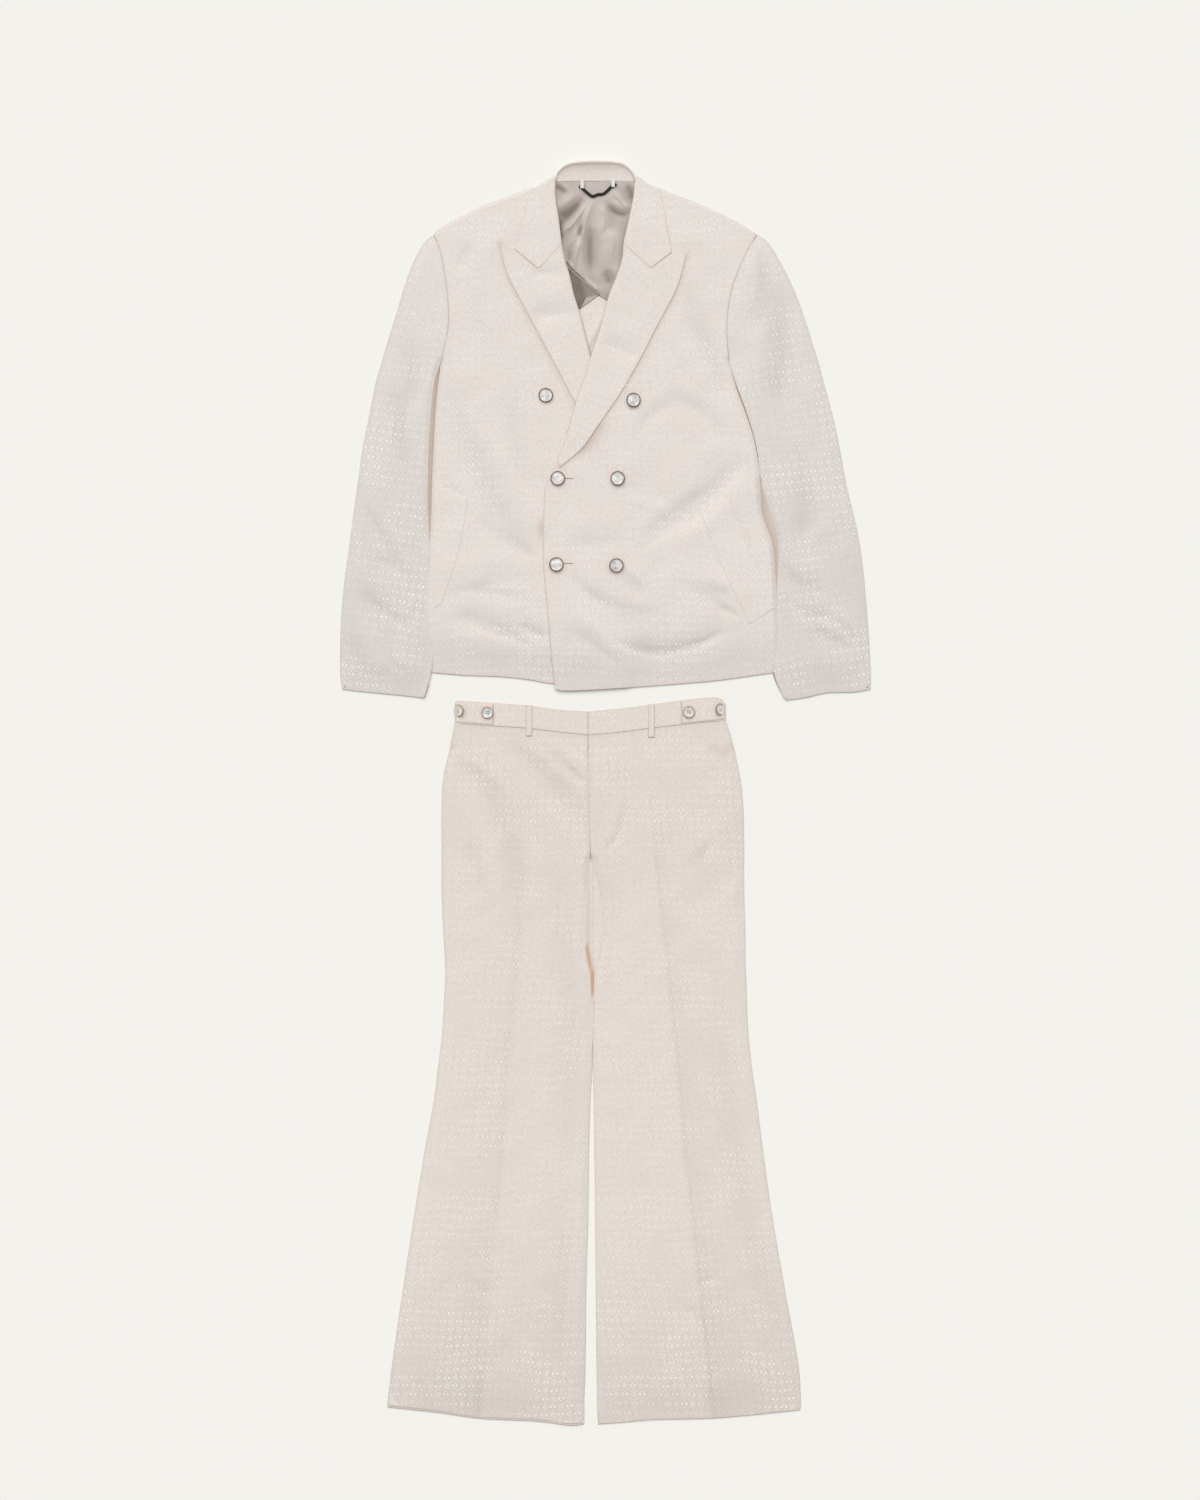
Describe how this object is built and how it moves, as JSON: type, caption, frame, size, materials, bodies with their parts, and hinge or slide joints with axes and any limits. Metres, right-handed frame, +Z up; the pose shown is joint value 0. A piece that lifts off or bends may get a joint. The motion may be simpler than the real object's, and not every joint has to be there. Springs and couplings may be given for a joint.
{
  "type": "suit",
  "caption": "Double-breasted jacket with peak lapels, laid flat and closed above flared trousers with pressed creases, in a pale figured satin-weave cloth.",
  "frame": {"origin": "bottom centre of the laid suit, on the surface it lies on", "axes": "+Z up from the surface, +Y from the trouser hems to the jacket collar, +X to the wearer's left"},
  "size_m": [0.7528, 1.7942, 0.0154],
  "materials": {
    "jacket_cloth": "figured satin weave",
    "trouser_cloth": "figured satin weave",
    "lining_satin": "satin",
    "jacket_button": "pearl with a thin bronze rim",
    "trouser_button": "pearl with a thin bronze rim",
    "loop_cord": "braided",
    "loop_tab": "satin tape"
  },
  "bodies": {
    "root": {"back_inner_lower": "jacket_cloth", "back_left": "jacket_cloth", "back_lining": "lining_satin", "back_right": "jacket_cloth", "belt_loop_left": "trouser_cloth", "belt_loop_right": "trouser_cloth", "button_bottom_left": "jacket_button", "button_bottom_right": "jacket_button", "button_middle_left": "jacket_button", "button_middle_right": "jacket_button", "button_top_left": "jacket_button", "button_top_right": "jacket_button", "collar_fall": "jacket_cloth", "collar_leaf_left": "jacket_cloth", "collar_leaf_right": "jacket_cloth", "collar_stand": "jacket_cloth", "fly_piece": "trouser_cloth", "front_left": "jacket_cloth", "front_right": "jacket_cloth", "hanger_loop": "loop_cord", "lapel_left": "jacket_cloth", "lapel_right": "jacket_cloth", "leg_back_left": "trouser_cloth", "leg_back_right": "trouser_cloth", "leg_front_left": "trouser_cloth", "leg_front_right": "trouser_cloth", "loop_end_left": "loop_tab", "loop_end_right": "loop_tab", "pocket_welt_left": "jacket_cloth", "pocket_welt_right": "jacket_cloth", "side_tab_left": "trouser_cloth", "side_tab_right": "trouser_cloth", "sleeve_top_left": "jacket_cloth", "sleeve_top_right": "jacket_cloth", "sleeve_under_left": "jacket_cloth", "sleeve_under_right": "jacket_cloth", "trouser_button_inner_left": "trouser_button", "trouser_button_inner_right": "trouser_button", "trouser_button_outer_left": "trouser_button", "trouser_button_outer_right": "trouser_button", "waistband_back": "trouser_cloth", "waistband_front_left": "trouser_cloth", "waistband_front_right": "trouser_cloth"}
  },
  "joints": []
}
